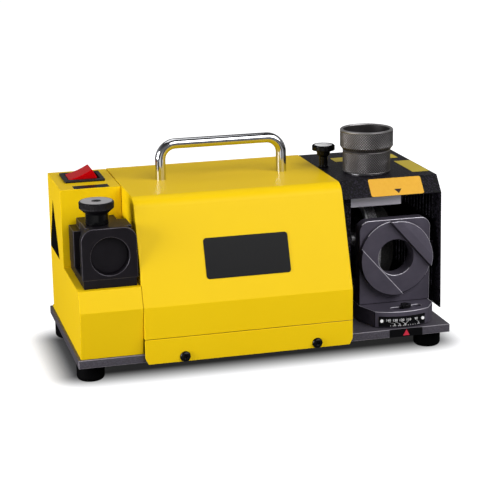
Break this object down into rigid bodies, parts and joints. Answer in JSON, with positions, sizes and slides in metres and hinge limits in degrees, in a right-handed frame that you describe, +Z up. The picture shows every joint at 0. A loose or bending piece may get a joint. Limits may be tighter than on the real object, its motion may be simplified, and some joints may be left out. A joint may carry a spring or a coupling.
{
  "type": "drill bit sharpener",
  "caption": "Bench-top drill bit sharpener: motor and conical wheel under folded covers, swivelling angle port, collet chuck in a top port, and a depth setting gauge.",
  "frame": {"origin": "on the ground under the centre of the base plate", "axes": "+X to the right along the long base, +Y towards the cord side at the back, +Z up"},
  "size_m": [0.36, 0.1913, 0.2074],
  "materials": {
    "yellow_paint": "semi-gloss powder coat",
    "black_crinkle_paint": "fine crinkle coat",
    "dark_base_paint": "satin black paint",
    "black_plate": "satin black film on sheet",
    "chrome_rod": "polished",
    "rubber": "matt",
    "black_nylon": "fine moulded grain",
    "white_plastic": "glossy",
    "red_plastic": "glossy",
    "black_oxide_steel": "black oxide",
    "zinc_steel": "zinc plated",
    "turned_steel": "turned",
    "knurled_steel": "diamond knurled",
    "dark_anodised": "dark anodised",
    "bare_aluminium": "milled",
    "motor_steel": "painted and machined",
    "stator_laminations": "varnished laminations",
    "abrasive": "bonded abrasive on a steel hub"
  },
  "bodies": {
    "machine": {"base_plate": "dark_base_paint", "rubber_feet": "rubber", "foot_screws": "zinc_steel", "switch_box": "yellow_paint", "box_front": "yellow_paint", "box_rear": "yellow_paint", "box_end_left": "yellow_paint", "box_end_right": "yellow_paint", "main_cover": "yellow_paint", "front_skirt": "yellow_paint", "skirt_screws": "black_oxide_steel", "cover_screws": "black_oxide_steel", "carry_handle": "chrome_rod", "handle_screws": "zinc_steel", "name_plate": "black_plate", "switch_housing": "black_nylon", "cable_gland": "black_nylon", "chamber_cover": "black_crinkle_paint", "partition": "black_crinkle_paint", "partition_screws": "zinc_steel", "top_port_plate": "bare_aluminium", "top_port_screws": "zinc_steel", "top_port_bush": "turned_steel", "pivot_pin": "turned_steel", "clamp_screw": "black_oxide_steel", "motor_frame": "motor_steel", "stator": "stator_laminations", "end_bell_left": "bare_aluminium", "end_bell_right": "bare_aluminium", "bearings": "turned_steel", "motor_mount": "black_crinkle_paint", "motor_screws": "zinc_steel", "gauge_rail": "dark_anodised", "gauge_screws": "black_oxide_steel", "gauge_plate": "dark_anodised", "gauge_body": "dark_anodised", "gauge_carriage": "dark_anodised"},
    "rocker": {"switch_rocker": "red_plastic"},
    "swivel": {"swivel_base": "dark_anodised", "port_plate": "dark_anodised", "port_screws": "zinc_steel", "port_disc": "dark_anodised", "scale_plate": "black_plate", "scale_screws": "zinc_steel"},
    "rotor": {"rotor_shaft": "turned_steel", "rotor_core": "motor_steel", "cooling_fan": "black_nylon", "wheel_flange": "turned_steel", "grinding_wheel": "abrasive", "wheel_nut": "turned_steel"},
    "chuck": {"chuck_body": "knurled_steel", "chuck_collet": "turned_steel"},
    "nut": {"chuck_nut": "knurled_steel"},
    "top_knob": {"cover_knob": "black_nylon", "cover_knob_cap": "white_plastic"},
    "clamp_knob": {"gauge_knob": "dark_anodised", "gauge_knob_screw": "black_oxide_steel"},
    "depth_stop": {"gauge_stop": "dark_anodised"}
  },
  "joints": [
    {"name": "rocker_tilt", "type": "hinge", "parent": "machine", "child": "rocker", "pos_m": [-0.1488, 0.045, 0.1625], "axis": [0, 1, 0], "range_deg": [0, 42]},
    {"name": "port_swivel", "type": "hinge", "parent": "machine", "child": "swivel", "pos_m": [0.1357, -0.031, 0.03], "axis": [0, 0, 1], "range_deg": [-14, 11]},
    {"name": "wheel_spin", "type": "hinge", "parent": "machine", "child": "rotor", "pos_m": [0, 0.00997, 0.088], "axis": [1, 0, 0], "continuous": true},
    {"name": "chuck_lift", "type": "slide", "parent": "machine", "child": "chuck", "axis": [0, 0, 1], "range_m": [0, 0.04]},
    {"name": "nut_turn", "type": "hinge", "parent": "chuck", "child": "nut", "pos_m": [0.121, -0.014, 0.197], "axis": [0, 0, 1], "continuous": true},
    {"name": "top_knob_turn", "type": "hinge", "parent": "machine", "child": "top_knob", "pos_m": [0.0865, 0.015, 0.175], "axis": [0, 0, 1], "continuous": true},
    {"name": "clamp_knob_turn", "type": "hinge", "parent": "machine", "child": "clamp_knob", "pos_m": [-0.153, -0.06, 0.155], "axis": [0, 0, 1], "continuous": true},
    {"name": "stop_slide", "type": "slide", "parent": "machine", "child": "depth_stop", "axis": [0, 1, 0], "range_m": [-0.006, 0.003]}
  ]
}
